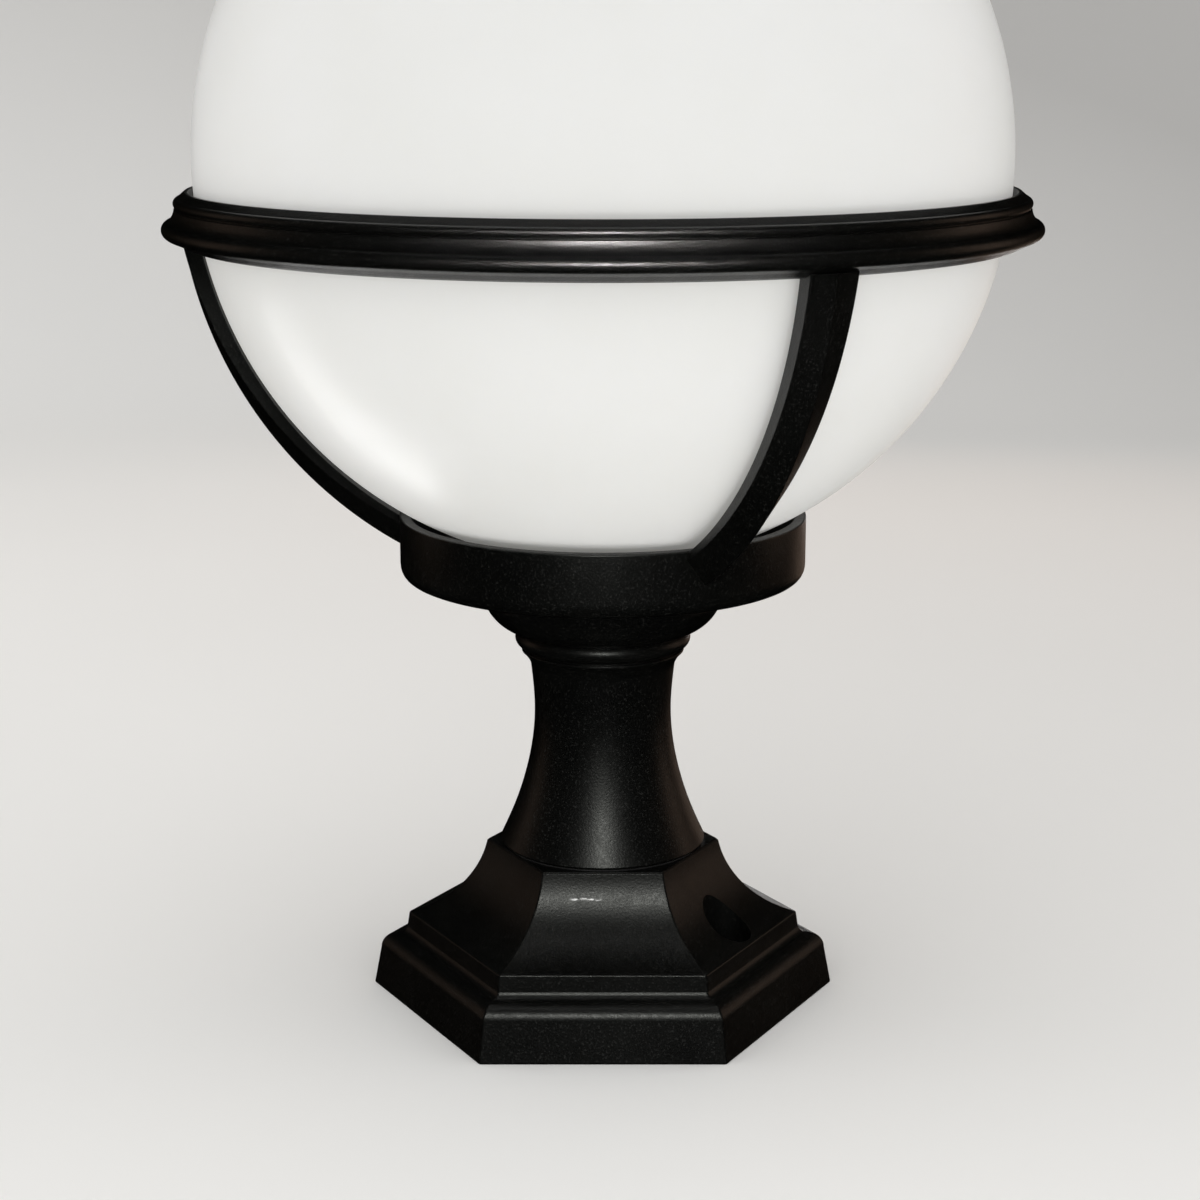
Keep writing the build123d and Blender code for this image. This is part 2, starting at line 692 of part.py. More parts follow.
# ---- earth terminal ---------------------------------------------------------------
TAG_THICKNESS = 0.8
TAG_FOOT = EARTH_BOSS_FOOT - TAG_THICKNESS
TAG_BARREL_X = 6.0
TAG_BARREL_LENGTH = 6.0
TAG_BARREL_R = 1.7
with BuildPart() as earth_tag:
    with BuildSketch(Plane.XY.offset(TAG_FOOT)):
        with Locations((0, EARTH_Y)):
            Circle(4.4)
        with Locations((TAG_BARREL_X / 2, EARTH_Y)):
            Rectangle(TAG_BARREL_X + 1, 3.0)
        with Locations((0, EARTH_Y)):
            Circle(2.1, mode=Mode.SUBTRACT)
    extrude(amount=TAG_THICKNESS)
    with BuildSketch(Plane(origin=(TAG_BARREL_X, EARTH_Y, EARTH_BOSS_FOOT), z_dir=(1, 0, 0))):
        Circle(TAG_BARREL_R)
    extrude(amount=TAG_BARREL_LENGTH)
save(earth_tag.part, "earth_tag")

with BuildPart() as earth_screw:
    with BuildSketch(Plane.XY.offset(TAG_FOOT - 2.6)):
        with Locations((0, EARTH_Y)):
            Circle(4.0)
    extrude(amount=2.6)
    with BuildSketch(Plane.XY.offset(TAG_FOOT - 2.6)):
        with Locations((0, EARTH_Y)):
            Circle(1.95)
    extrude(amount=2.6 + TAG_THICKNESS + 7.0)
    fillet(earth_screw.edges().filter_by(GeomType.CIRCLE).sort_by(Axis.Z)[0], 1.0)
    with BuildSketch(Plane.XY.offset(TAG_FOOT - 2.6)):
        with Locations((0, EARTH_Y)):
            Rectangle(6.0, 0.9)
    extrude(amount=1.0, mode=Mode.SUBTRACT)
save(earth_screw.part, "earth_screw")


# ---- leads ------------------------------------------------------------------------
def bend_radii(points):
    """The largest arc that each corner's two runs allow."""
    radii = []
    for before, corner, after in zip(points, points[1:], points[2:]):
        arriving = Vector(*corner) - Vector(*before)
        leaving = Vector(*after) - Vector(*corner)
        half_turn = radians(arriving.get_angle(leaving)) / 2
        shorter = min(arriving.length, leaving.length)
        radii.append(0.45 * shorter / tan(half_turn))
    return radii


def lead(name, points):
    """One insulated core, a round tube along straight runs joined by tangent arcs."""
    radii = bend_radii(points)
    with BuildPart() as core:
        with BuildLine() as route:
            FilletPolyline(*points, radius=radii)
        path = route.wires()[0]
        with BuildSketch(Plane(origin=path @ 0, z_dir=path % 0)):
            Circle(LEAD_R)
        sweep(path=path)
    section_length = core.part.volume / (pi * LEAD_R**2)
    print(name, "length", round(path.length, 1), "by volume", round(section_length, 1))
    print(name, "bend radii", [round(radius, 1) for radius in radii])
    save(core.part, name)


def through_tube(side):
    """The upper run of a core, from its lampholder terminal down the tie tube."""
    return [
        (side * TERMINAL_X, 0, SCREW_HEAD_FOOT),
        (side * TERMINAL_X, 0, 167.0),
        (side * LEAD_OFFSET, 0, 161.0),
        (side * LEAD_OFFSET, 0, 26.0),
    ]


POLE_ENTRY = BLOCK_Y - 3.0
lead("live_lead", through_tube(-1) + [(-POLE_PITCH, 7, BLOCK_Z), (-POLE_PITCH, POLE_ENTRY, BLOCK_Z)])
lead("neutral_lead", through_tube(1) + [(0, 7, BLOCK_Z), (0, POLE_ENTRY, BLOCK_Z)])
lead(
    "earth_lead",
    [
        (TAG_BARREL_X + TAG_BARREL_LENGTH, EARTH_Y, EARTH_BOSS_FOOT),
        (19.0, EARTH_Y, EARTH_BOSS_FOOT),
        (22.0, -8.0, 30.0),
        (POLE_PITCH, 4.0, BLOCK_Z),
        (POLE_PITCH, POLE_ENTRY, BLOCK_Z),
    ],
)
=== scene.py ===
import json
import math

import bmesh
import bpy
from mathutils import Matrix, Vector


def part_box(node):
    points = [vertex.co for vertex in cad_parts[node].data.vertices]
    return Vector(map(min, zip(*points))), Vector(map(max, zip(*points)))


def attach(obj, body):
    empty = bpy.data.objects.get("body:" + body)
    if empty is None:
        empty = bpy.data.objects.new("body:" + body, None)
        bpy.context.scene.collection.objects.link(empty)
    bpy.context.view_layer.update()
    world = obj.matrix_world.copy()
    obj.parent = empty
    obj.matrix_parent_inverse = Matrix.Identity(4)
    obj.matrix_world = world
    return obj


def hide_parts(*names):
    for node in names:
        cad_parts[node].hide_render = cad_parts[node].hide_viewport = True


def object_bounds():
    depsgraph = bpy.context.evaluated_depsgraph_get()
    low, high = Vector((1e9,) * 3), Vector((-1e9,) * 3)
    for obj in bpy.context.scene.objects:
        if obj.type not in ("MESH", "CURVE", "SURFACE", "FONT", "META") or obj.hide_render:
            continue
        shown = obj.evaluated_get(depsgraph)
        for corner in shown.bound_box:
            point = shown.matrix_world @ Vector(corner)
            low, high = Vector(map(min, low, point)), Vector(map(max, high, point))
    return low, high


# The looks of the pier lantern. The outlines below are in millimetres from the lantern's
# axis and the underside of its base; everything else is in metres, in the CAD frame.

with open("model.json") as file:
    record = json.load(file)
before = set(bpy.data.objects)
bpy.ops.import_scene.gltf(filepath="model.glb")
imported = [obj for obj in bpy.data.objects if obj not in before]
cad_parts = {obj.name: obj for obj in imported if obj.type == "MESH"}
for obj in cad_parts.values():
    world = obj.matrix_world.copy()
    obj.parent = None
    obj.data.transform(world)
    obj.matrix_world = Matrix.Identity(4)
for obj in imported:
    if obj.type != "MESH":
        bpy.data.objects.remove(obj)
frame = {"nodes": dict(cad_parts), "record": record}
cad_low, cad_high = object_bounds()
MM = 0.001
BODY = "lantern"


def top_of(node):
    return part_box(node)[1].z


def foot_of(node):
    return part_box(node)[0].z


# ---- camera -------------------------------------------------------------------
CAMERA_BACK = 0.7468
CAMERA_HEIGHT = 0.310
CAMERA_SIDE = -0.0009
CAMERA_PITCH = math.radians(13.48)
CAMERA_LENS = 71.77

camera_data = bpy.data.cameras.new("camera")
camera_data.lens = CAMERA_LENS
camera_data.sensor_width = 36.0
camera = bpy.data.objects.new("camera", camera_data)
camera.location = (CAMERA_SIDE, -CAMERA_BACK, CAMERA_HEIGHT)
camera.rotation_euler = (math.radians(90) - CAMERA_PITCH, 0, 0)
bpy.context.scene.collection.objects.link(camera)
bpy.context.scene.camera = camera
bpy.context.scene.view_settings.view_transform = "Standard"


# ---- outlines -------------------------------------------------------------------
def arc(start, middle, end, steps=16):
    """Points along the circle through three points, both ends included."""
    (ax, az), (bx, bz), (cx, cz) = start, middle, end
    d = 2 * (ax * (bz - cz) + bx * (cz - az) + cx * (az - bz))
    a2, b2, c2 = ax * ax + az * az, bx * bx + bz * bz, cx * cx + cz * cz
    ox = (a2 * (bz - cz) + b2 * (cz - az) + c2 * (az - bz)) / d
    oz = (a2 * (cx - bx) + b2 * (ax - cx) + c2 * (bx - ax)) / d
    radius = math.hypot(ax - ox, az - oz)
    first = math.atan2(az - oz, ax - ox)
    sweep_middle = (math.atan2(bz - oz, bx - ox) - first) % (2 * math.pi)
    sweep = (math.atan2(cz - oz, cx - ox) - first) % (2 * math.pi)
    if sweep_middle > sweep:
        sweep -= 2 * math.pi
    turns = [first + sweep * i / steps for i in range(steps + 1)]
    return [(ox + radius * math.cos(t), oz + radius * math.sin(t)) for t in turns]


def spline(points, steps=12):
    """A natural cubic curve through a few points, spaced by the distances between them."""
    p = [Vector(point) for point in points]
    gaps = [(after - before).length for before, after in zip(p, p[1:])]
    share = [0.0] * len(p)
    side = [Vector((0, 0)) for _ in p]
    bend = [Vector((0, 0)) for _ in p]
    for i in range(1, len(p) - 1):
        weight = 2 * (gaps[i - 1] + gaps[i]) - gaps[i - 1] * share[i - 1]
        pull = 6 * ((p[i + 1] - p[i]) / gaps[i] - (p[i] - p[i - 1]) / gaps[i - 1])
        share[i] = gaps[i] / weight
        side[i] = (pull - gaps[i - 1] * side[i - 1]) / weight
    for i in range(len(p) - 2, 0, -1):
        bend[i] = side[i] - share[i] * bend[i + 1]
    made = []
    for i, gap in enumerate(gaps):
        for k in range(steps):
            done = gap * k / steps
            left = gap - done
            point = (bend[i] * left**3 + bend[i + 1] * done**3) / (6 * gap)
            point += (p[i] / gap - bend[i] * gap / 6) * left
            point += (p[i + 1] / gap - bend[i + 1] * gap / 6) * done
            made.append(tuple(point))
    return made + [tuple(p[-1])]


def softened(corners, steps=4):
    """A closed outline in which a corner given with a third number is rounded by that radius."""
    made = []
    count = len(corners)
    for i, corner in enumerate(corners):
        here = Vector(corner[:2])
        if len(corner) == 2:
            made.append(tuple(here))
            continue
        before = Vector(corners[i - 1][:2]) - here
        after = Vector(corners[(i + 1) % count][:2]) - here
        half = before.angle(after) / 2
        reach = min(corner[2] / math.tan(half), 0.48 * before.length, 0.48 * after.length)
        start, end = here + before.normalized() * reach, here + after.normalized() * reach
        for k in range(steps + 1):
            t = k / steps
            made.append(tuple((1 - t) ** 2 * start + 2 * t * (1 - t) * here + t * t * end))
    return made


# ---- meshes ---------------------------------------------------------------------
def finished(name, shape, sharp_degrees=42):
    """An object from a bmesh, smooth but for its sharp edges."""
    bmesh.ops.remove_doubles(shape, verts=shape.verts, dist=1e-6)
    bmesh.ops.recalc_face_normals(shape, faces=shape.faces)
    mesh = bpy.data.meshes.new(name)
    shape.to_mesh(mesh)
    shape.free()
    piece = bpy.data.objects.new(name, mesh)
    bpy.context.scene.collection.objects.link(piece)
    smooth(piece, sharp_degrees)
    return piece


def smooth(piece, sharp_degrees):
    piece.data.polygons.foreach_set("use_smooth", [True] * len(piece.data.polygons))
    piece.data.set_sharp_from_angle(angle=math.radians(sharp_degrees))


def weighted(piece):
    """Large flat faces keep their own direction beside small rounded edges."""
    modifier = piece.modifiers.new("weighted", "WEIGHTED_NORMAL")
    modifier.keep_sharp = True
    modifier.weight = 80
    return piece


def skin(shape, rings, closed):
    """Faces between rings that hold the same number of vertices."""
    pairs = list(zip(rings, rings[1:]))
    if closed:
        pairs.append((rings[-1], rings[0]))
    for lower, upper in pairs:
        count = max(len(lower), len(upper))
        for i in range(count):
            j = (i + 1) % count
            if len(lower) == 1:
                shape.faces.new((lower[0], upper[j], upper[i]))
            elif len(upper) == 1:
                shape.faces.new((lower[i], lower[j], upper[0]))
            else:
                shape.faces.new((lower[i], lower[j], upper[j], upper[i]))


LATHE_STEPS = 256


def lathe(name, outline, closed=True, steps=LATHE_STEPS):
    """A closed outline of (radius, height) in millimetres, turned about the lantern's axis."""
    shape = bmesh.new()
    rings = []
    for radius, height in outline:
        if radius < 1e-6:
            rings.append([shape.verts.new((0, 0, height * MM))])
            continue
        turns = [2 * math.pi * i / steps for i in range(steps)]
        rings.append(
            [
                shape.verts.new((radius * MM * math.cos(t), radius * MM * math.sin(t), height * MM))
                for t in turns
            ]
        )
    skin(shape, rings, closed)
    return finished(name, shape)


def carve(piece, tool, sharp_degrees=32):
    """Cut a tool out of a piece, then throw the tool away."""
    modifier = piece.modifiers.new("carve", "BOOLEAN")
    modifier.operation = "DIFFERENCE"
    modifier.solver = "EXACT"
    modifier.object = tool
    seen = piece.evaluated_get(bpy.context.evaluated_depsgraph_get())
    mesh = bpy.data.meshes.new_from_object(seen)
    piece.modifiers.clear()
    piece.data = mesh
    bpy.data.objects.remove(tool)
    smooth(piece, sharp_degrees)
    return piece


def rod(radius, low, high, place=(0, 0), steps=64):
    """A round tool for cutting, in millimetres."""
    tool = lathe("tool", [(0, low), (radius, low), (radius, high), (0, high)], closed=False, steps=steps)
    tool.data.transform(Matrix.Translation((place[0] * MM, place[1] * MM, 0)))
    return tool


# ---- hexagonal base -------------------------------------------------------------
HEX_SIDE_STEPS = 10
HEX_CORNER_STEPS = 4
HALF_SIDE = math.tan(math.radians(30))


def hexagon(apothem, corner):
    """Points round a hexagon with rounded corners, its first side facing -Y."""
    points = []
    for side in range(6):
        facing = math.radians(-90 + 60 * side)
        outward = Vector((math.cos(facing), math.sin(facing)))
        along = Vector((-outward.y, outward.x))
        half = (apothem - corner) * HALF_SIDE
        for i in range(HEX_SIDE_STEPS + 1):
            points.append(outward * apothem + along * half * (2 * i / HEX_SIDE_STEPS - 1))
        centre = outward * (apothem - corner) + along * half
        for i in range(1, HEX_CORNER_STEPS):
            turn = facing + math.radians(60 * i / HEX_CORNER_STEPS)
            points.append(centre + corner * Vector((math.cos(turn), math.sin(turn))))
    return points


def hexagonal(name, outline, corner):
    """A solid with hexagonal sections along an outline of (apothem, height)."""
    shape = bmesh.new()
    rings = []
    for apothem, height in outline:
        ring = hexagon(apothem, min(corner, 0.5 * apothem))
        rings.append([shape.verts.new((p.x * MM, p.y * MM, height * MM)) for p in ring])
    skin(shape, rings, False)
    shape.faces.new(rings[0])
    shape.faces.new(rings[-1])
    return finished(name, shape)


BASE_TOP = top_of("hex_base") / MM
BASE_CORNER, HOLLOW_CORNER = 0.9, 2.5
OVOLO = arc((63.8, 12.6), (62.277, 16.277), (58.6, 17.8), 10)
CAVETTO = arc((58.6, 17.8), (57.07, 18.4), (56.2, 19.8), 6)
COVE = arc((55.5, 25.0), (40.9, 34.2), (33.0, 49.9), 30)
base_outline = [(30.0, 0.0), (65.9, 0.0, 0.5)] + OVOLO[:-1] + [(58.6, 17.8, 0.25)]
base_outline += CAVETTO[1:-1] + [(56.2, 19.8, 0.3), (55.5, 25.0, 0.7)] + COVE[1:-1]
base_outline += [(33.0, 49.9, 0.3), (32.4, BASE_TOP, 0.3), (20.0, BASE_TOP)]
hex_piece = hexagonal("hex_base_casting", softened(base_outline), BASE_CORNER)

BASE_ROOF = top_of("lower_washer") / MM
hollow_outline = [(20.0, -1.0), (62.3, -1.0), (60.2, 12.6), (51.9, 15.6, 1.0), (51.9, 21.4)]
hollow_outline += arc((51.9, 21.4), (38.3, 31.4), (29.4, BASE_ROOF), 20)[1:-1]
hollow_outline += [(29.4, BASE_ROOF, 1.5), (20.0, BASE_ROOF)]
hollow = hexagonal("tool", softened(hollow_outline), HOLLOW_CORNER)

FIXING_CIRCLE_R = 46.0
FIXING_HOLE_R = 3.25
POCKET_R, POCKET_FLOOR = 7.8, 12.0
POCKET_BOSS_R = 10.6
EARTH_BOSS_R, EARTH_BOSS_FOOT = 5.0, 38.0
BLOCK_BOSS_R = 3.4
TUBE_HOLE_R = 5.3
BELOW, ABOVE = -2.0, 60.0
POCKETS = [
    (FIXING_CIRCLE_R * math.cos(math.radians(a)), FIXING_CIRCLE_R * math.sin(math.radians(a)))
    for a in (-30, 150)
]
earth_low, earth_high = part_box("earth_screw")
block_screw_low, block_screw_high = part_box("block_screw")
earth_place = ((earth_low + earth_high) / 2).xy / MM
block_place = ((block_screw_low + block_screw_high) / 2).xy / MM
for place in POCKETS:
    carve(hollow, rod(POCKET_BOSS_R, BELOW, ABOVE, place, 96))
carve(hollow, rod(EARTH_BOSS_R, EARTH_BOSS_FOOT, ABOVE, earth_place))
carve(hollow, rod(BLOCK_BOSS_R, top_of("terminal_block") / MM, ABOVE, block_place))
carve(hex_piece, hollow)
for place in POCKETS:
    carve(hex_piece, rod(POCKET_R, POCKET_FLOOR, ABOVE, place, 96))
    carve(hex_piece, rod(FIXING_HOLE_R, BELOW, 20.0, place))
carve(hex_piece, rod(TUBE_HOLE_R, 40.0, ABOVE))
weighted(hex_piece)

# ---- column, neck collar and gallery ----------------------------------------------
shaft = spline([(33.3, 51.9), (29.5, 60.5), (25.0, 74.1), (22.05, 96.0), (23.2, 110.8)], 14)
column_outline = [(27.8, 51.1), (32.7, 51.1, 0.3), (33.3, 51.9, 0.3)] + shaft[1:]
column_outline += arc((23.2, 110.8), (24.2, 112.9), (26.1, 115.1), 8)[1:-1]
column_outline += [(26.1, 115.1, 0.2), (26.1, 115.8, 0.2), (TUBE_HOLE_R, 115.8)]
column_outline += [(TUBE_HOLE_R, 108.0), (17.8, 108.0)]
column_outline += [(17.8, 84.0), (21.5, 66.0)]
column_piece = weighted(lathe("column_casting", softened(column_outline)))

collar_outline = [(TUBE_HOLE_R, 115.8), (25.2, 115.8), (25.2, 116.5)]
collar_outline += arc((25.2, 116.5), (28.2, 119.3), (27.0, 121.8), 14)[1:-1]
collar_outline += [(27.0, 121.8, 0.25), (28.6, 122.4, 0.3)]
collar_outline += arc((28.6, 122.4), (35.0, 126.3), (38.2, 132.0), 18)[1:]
collar_outline += [(38.2, 139.8), (33.8, 139.8), (33.8, 130.0), (23.0, 120.8)]
collar_outline += [(TUBE_HOLE_R, 120.8)]
collar_piece = weighted(lathe("neck_collar_casting", softened(collar_outline)))

gallery_outline = [(TUBE_HOLE_R, 139.8), (64.5, 139.8, 5.0), (64.5, 160.0, 0.7)]
gallery_outline += [(61.0, 160.0, 0.7), (61.0, 143.5, 3.0), (TUBE_HOLE_R, 143.5)]
gallery_piece = lathe("gallery_casting", softened(gallery_outline, 8))
GALLERY_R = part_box("gallery")[1].x / MM

# ---- cage ring ---------------------------------------------------------------------
ring_outline = [(126.2, 245.4, 0.3), (126.2, 261.9, 0.4), (127.4, 261.9, 0.4), (129.6, 260.0, 0.3)]
ring_outline += arc((129.6, 260.0), (130.9, 258.5), (130.1, 257.1), 8)[1:-1]
ring_outline += [(130.1, 257.1, 0.2), (130.7, 256.7, 0.2)]
ring_outline += arc((130.7, 256.7), (131.27, 254.76), (132.6, 253.0), 8)[1:]
ring_outline += arc((132.6, 253.0), (134.68, 250.4), (132.9, 248.3), 12)[1:-1]
ring_outline += [(132.9, 248.3, 0.2), (130.9, 247.5, 0.3), (128.2, 246.1, 0.3)]
ring_piece = weighted(lathe("cage_ring_casting", softened(ring_outline), steps=384))

# ---- arms --------------------------------------------------------------------------
ARM_STEPS = 72
ARM_FOOT_ANGLE, ARM_HEAD_ANGLE = 27.0, 80.6
ARM_FOOT_R, ARM_HEAD_R = 128.2, 126.7
ARM_FOOT_WIDTH, ARM_HEAD_WIDTH = 12.0, 15.5
ARM_FOOT_SIDE, ARM_HEAD_SIDE = 2.1, 5.4
ARM_FOOT_RIDGE, ARM_HEAD_RIDGE = 7.7, 0.9
ARM_RIDGE_EASE = 1.15
RING_FOOT = foot_of("cage_ring") / MM
globe_low, globe_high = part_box("globe")
GLOBE_R = (globe_high.x - globe_low.x) / 2 / MM
GLOBE_HEIGHT = globe_high.z / MM - GLOBE_R


def between(foot, head, share):
    return foot + (head - foot) * share


def arm(name, node, bearing):
    """A strap round the globe, flat at the ring and ridged towards the gallery."""
    shape = bmesh.new()
    rings = []
    for step in range(ARM_STEPS + 1):
        share = step / ARM_STEPS
        half = between(ARM_FOOT_WIDTH, ARM_HEAD_WIDTH, share) / 2
        side = between(ARM_FOOT_SIDE, ARM_HEAD_SIDE, share)
        ridge = side + between(ARM_HEAD_RIDGE, ARM_FOOT_RIDGE, 1 - share**ARM_RIDGE_EASE)
        section = softened(
            [(-half, 0, 0.3), (-half, side, 0.6), (0, ridge, 0.8), (half, side, 0.6), (half, 0, 0.3)], 3
        )
        angle = math.radians(between(ARM_FOOT_ANGLE, ARM_HEAD_ANGLE, share))
        ring = []
        for across, outward in section:
            radius = between(ARM_FOOT_R, ARM_HEAD_R, share) + outward
            point = (radius * math.sin(angle), across, GLOBE_HEIGHT - radius * math.cos(angle))
            ring.append(shape.verts.new(Vector(point) * MM))
        rings.append(ring)
    skin(shape, rings, False)
    shape.faces.new(rings[0])
    shape.faces.new(rings[-1])
    piece = finished(name, shape)
    carve(piece, rod(GALLERY_R - 0.2, 100.0, 165.0, steps=LATHE_STEPS))
    carve(piece, rod(140.0, RING_FOOT + 1.5, 300.0))
    piece.data.transform(Matrix.Rotation(math.radians(bearing), 4, "Z"))
    weighted(piece)
    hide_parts(node)
    return piece


ARM_BEARING = -61.9
arm_pieces = [
    arm("arm_casting_front", "arm_front", ARM_BEARING),
    arm("arm_casting_rear", "arm_rear", ARM_BEARING + 120),
    arm("arm_casting_left", "arm_left", ARM_BEARING + 240),
]

# ---- globe -------------------------------------------------------------------------
NECK_FOOT = globe_low.z / MM
NECK_R, NECK_BORE_R = 42.0, 38.5
HOLLOW_R = GLOBE_R - 3
neck_shoulder = GLOBE_HEIGHT - math.sqrt(GLOBE_R**2 - NECK_R**2)
neck_mouth = GLOBE_HEIGHT - math.sqrt(HOLLOW_R**2 - NECK_BORE_R**2)
outer_shell = arc((NECK_R, neck_shoulder), (GLOBE_R, GLOBE_HEIGHT), (0, GLOBE_HEIGHT + GLOBE_R), 128)
inner_shell = arc(
    (NECK_BORE_R, neck_mouth), (HOLLOW_R, GLOBE_HEIGHT), (0, GLOBE_HEIGHT + HOLLOW_R), 96
)
globe_outline = inner_shell[::-1][:-1]
globe_outline += [(NECK_BORE_R, neck_mouth, 0.8), (NECK_BORE_R, NECK_FOOT, 0.5)]
globe_outline += [(NECK_R, NECK_FOOT, 0.5), (NECK_R, neck_shoulder, 0.8)] + outer_shell[1:]
globe_piece = lathe("globe_opal", softened(globe_outline), closed=False)

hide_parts("hex_base")
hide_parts("column")
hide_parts("neck_collar")
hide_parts("gallery")
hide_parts("cage_ring")
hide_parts("globe")
castings = [hex_piece, column_piece, collar_piece, gallery_piece, ring_piece, *arm_pieces]
for piece in castings:
    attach(piece, BODY)
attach(globe_piece, "globe")


# ---- materials ---------------------------------------------------------------------
class Finish:
    """A material built up from a Principled shader and noise in the object's own space."""

    def __init__(self, name, metallic=0.0, roughness=0.5):
        self.material = bpy.data.materials.new(name)
        self.material.use_nodes = True
        self.nodes = self.material.node_tree.nodes
        self.links = self.material.node_tree.links
        self.shader = self.nodes["Principled BSDF"]
        self.shader.inputs["Metallic"].default_value = metallic
        self.shader.inputs["Roughness"].default_value = roughness
        self.place = self.nodes.new("ShaderNodeTexCoord").outputs["Object"]

    def set(self, socket, value):
        self.shader.inputs[socket].default_value = value

    def noise(self, grain, detail=3.0, stretch=(1, 1, 1), lift=0.5):
        """Noise whose features are about this many metres across."""
        mapping = self.nodes.new("ShaderNodeMapping")
        mapping.inputs["Scale"].default_value = stretch
        self.links.new(self.place, mapping.inputs["Vector"])
        texture = self.nodes.new("ShaderNodeTexNoise")
        texture.inputs["Scale"].default_value = 1 / grain
        texture.inputs["Detail"].default_value = detail
        texture.inputs["Roughness"].default_value = lift
        self.links.new(mapping.outputs["Vector"], texture.inputs["Vector"])
        return texture.outputs["Fac"]

    def ramp(self, source, low, high, start=0.35, end=0.65):
        """Two colours, from low to high as the source goes from start to end."""
        ramp = self.nodes.new("ShaderNodeValToRGB")
        ramp.color_ramp.elements[0].position = start
        ramp.color_ramp.elements[1].position = end
        ramp.color_ramp.elements[0].color = (*low, 1)
        ramp.color_ramp.elements[1].color = (*high, 1)
        self.links.new(source, ramp.inputs["Fac"])
        return ramp.outputs["Color"]

    def level(self, source, low, high, start=0.3, end=0.7):
        """A number from low to high as the source goes from start to end."""
        node = self.nodes.new("ShaderNodeMapRange")
        for socket, value in (("From Min", start), ("From Max", end), ("To Min", low), ("To Max", high)):
            node.inputs[socket].default_value = value
        self.links.new(source, node.inputs["Value"])
        return node.outputs["Result"]

    def mix(self, share, first, second):
        node = self.nodes.new("ShaderNodeMix")
        node.data_type = "RGBA"
        self.links.new(share, node.inputs["Factor"])
        self.links.new(first, node.inputs["A"])
        self.links.new(second, node.inputs["B"])
        return node.outputs["Result"]

    def math(self, operation, first, second):
        """Arithmetic on two sockets or numbers."""
        node = self.nodes.new("ShaderNodeMath")
        node.operation = operation
        for socket, value in zip(node.inputs, (first, second)):
            if isinstance(value, (int, float)):
                socket.default_value = value
            else:
                self.links.new(value, socket)
        return node.outputs["Value"]

    def bump(self, source, depth, before=None):
        """Relief of this depth in metres, over any earlier relief."""
        node = self.nodes.new("ShaderNodeBump")
        node.inputs["Strength"].default_value = 1.0
        node.inputs["Distance"].default_value = depth
        self.links.new(source, node.inputs["Height"])
        if before is not None:
            self.links.new(before, node.inputs["Normal"])
        return node.outputs["Normal"]

    def wire(self, socket, source):
        self.links.new(source, self.shader.inputs[socket])


def paint(name, pale_streak=None):
    """Satin black paint on a casting: a fine sparkling grain over slow mottling."""
    finish = Finish(name)
    slow = finish.noise(0.035, 2.0)
    fine = finish.noise(0.0007, 2.0, lift=0.6)
    dust = finish.noise(0.0007, 1.0)
    colour = finish.ramp(slow, (0.0015, 0.0017, 0.0013), (0.0028, 0.0031, 0.0025))
    fleck = finish.ramp(dust, (0, 0, 0), (1, 1, 1), 0.60, 0.72)
    pale = finish.ramp(slow, (0.020, 0.021, 0.018), (0.027, 0.027, 0.024))
    colour = finish.mix(finish.math("MULTIPLY", fleck, 0.45), colour, pale)
    sparkle = finish.level(fine, -0.04, 0.04, 0.35, 0.65)
    rough = finish.math("ADD", finish.level(finish.noise(0.0045, 2.0), 0.36, 0.40), sparkle)
    if pale_streak is not None:
        colour, rough = pale_streak(finish, colour, rough)
    finish.wire("Base Color", colour)
    finish.wire("Roughness", rough)
    relief = finish.bump(finish.noise(0.006, 1.0), 0.00003)
    finish.wire("Normal", finish.bump(fine, 0.00006, relief))
    finish.set("Specular IOR Level", 0.5)
    return finish.material


STREAK_CENTRE = Vector((-0.0055, -0.0352, 0.0425))
STREAK_HALF_LENGTH = 0.0055


def cove_pale_streak(finish, colour, rough):
    """A short thin pale streak across the front cove of the base."""
    split = finish.nodes.new("ShaderNodeSeparateXYZ")
    finish.links.new(finish.place, split.inputs["Vector"])
    wander = finish.level(finish.noise(0.005, 1.0), -0.0003, 0.0003)
    height = finish.math("ADD", finish.math("SUBTRACT", split.outputs["Z"], STREAK_CENTRE.z), wander)
    thin = finish.level(finish.math("ABSOLUTE", height, 0), 1.0, 0.0, 0.00018, 0.0004)
    side = finish.math("ABSOLUTE", finish.math("SUBTRACT", split.outputs["X"], STREAK_CENTRE.x), 0)
    short = finish.level(side, 1.0, 0.0, 0.6 * STREAK_HALF_LENGTH, STREAK_HALF_LENGTH)
    front = finish.level(split.outputs["Y"], 1.0, 0.0, STREAK_CENTRE.y, 0.0)
    broken = finish.level(finish.noise(0.0012, 2.0, stretch=(1, 1, 3)), 0.0, 1.0, 0.36, 0.6)
    mark = finish.math("MULTIPLY", thin, short)
    mark = finish.math("MULTIPLY", mark, finish.math("MULTIPLY", front, broken))
    grey = finish.ramp(broken, (0.45, 0.45, 0.43), (0.8, 0.8, 0.78))
    return finish.mix(mark, colour, grey), finish.math("ADD", rough, finish.math("MULTIPLY", mark, 0.2))


